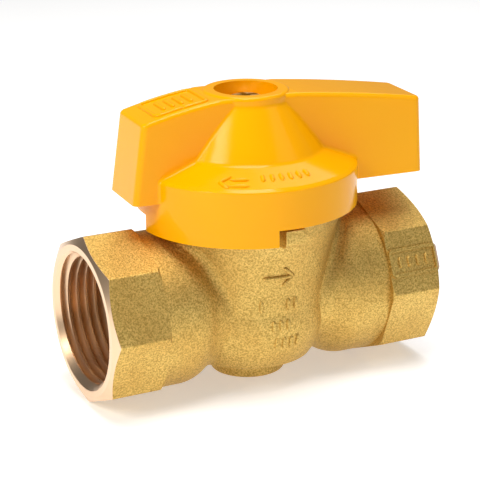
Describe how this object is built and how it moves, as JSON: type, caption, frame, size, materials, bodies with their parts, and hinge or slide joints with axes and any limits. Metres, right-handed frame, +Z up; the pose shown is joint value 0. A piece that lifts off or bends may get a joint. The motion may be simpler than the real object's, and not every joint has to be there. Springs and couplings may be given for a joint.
{
  "type": "gas valve",
  "caption": "Quarter-turn gas ball valve with a forged brass body, octagonal internally threaded ends and a yellow two-winged handle.",
  "frame": {"origin": "where the pipe axis and the stem axis cross, at the centre of the ball", "axes": "+X along the pipe towards the outlet port, +Z up the stem towards the handle, +Y to complete a right-handed frame"},
  "size_m": [0.0702, 0.0428, 0.0574],
  "materials": {
    "forged_brass": "sand-blasted forging, machined ends",
    "machined_brass": "turned",
    "polished_ball": "chrome plated and polished",
    "yellow_coating": "gloss yellow coating on die-cast zinc",
    "seat_plastic": "white fluoropolymer",
    "seal_rubber": "black nitrile rubber",
    "spring_steel": "oiled spring steel",
    "plated_steel": "zinc plated"
  },
  "bodies": {
    "valve": {"valve_body": "forged_brass", "bottom_bush": "seat_plastic", "bonnet": "machined_brass", "inlet_seat_ring": "seat_plastic", "outlet_seat_ring": "seat_plastic", "inlet_seat_backing_ring": "seal_rubber", "outlet_seat_backing_ring": "seal_rubber", "bonnet_o_ring": "seal_rubber", "stem_thrust_washer": "seat_plastic", "bonnet_retaining_ring": "spring_steel", "spring_washer": "spring_steel"},
    "handle": {"handle": "yellow_coating", "handle_lock_washer": "plated_steel", "handle_screw": "plated_steel", "stem": "machined_brass", "stem_o_ring_lower": "seal_rubber", "stem_o_ring_upper": "seal_rubber"},
    "ball": {"ball": "polished_ball"}
  },
  "joints": [
    {"name": "handle_turn", "type": "hinge", "parent": "valve", "child": "handle", "pos_m": [0, 0, 0.03], "axis": [0, 0, -1], "range_deg": [-4.3, 85.7]},
    {"name": "ball_turn", "type": "hinge", "parent": "valve", "child": "ball", "pos_m": [0, 0, 0], "axis": [0, 0, -1], "range_deg": [-4.3, 85.7]}
  ],
  "couplings": [
    {"joint": "ball_turn", "follows": "handle_turn", "ratio": 1}
  ]
}
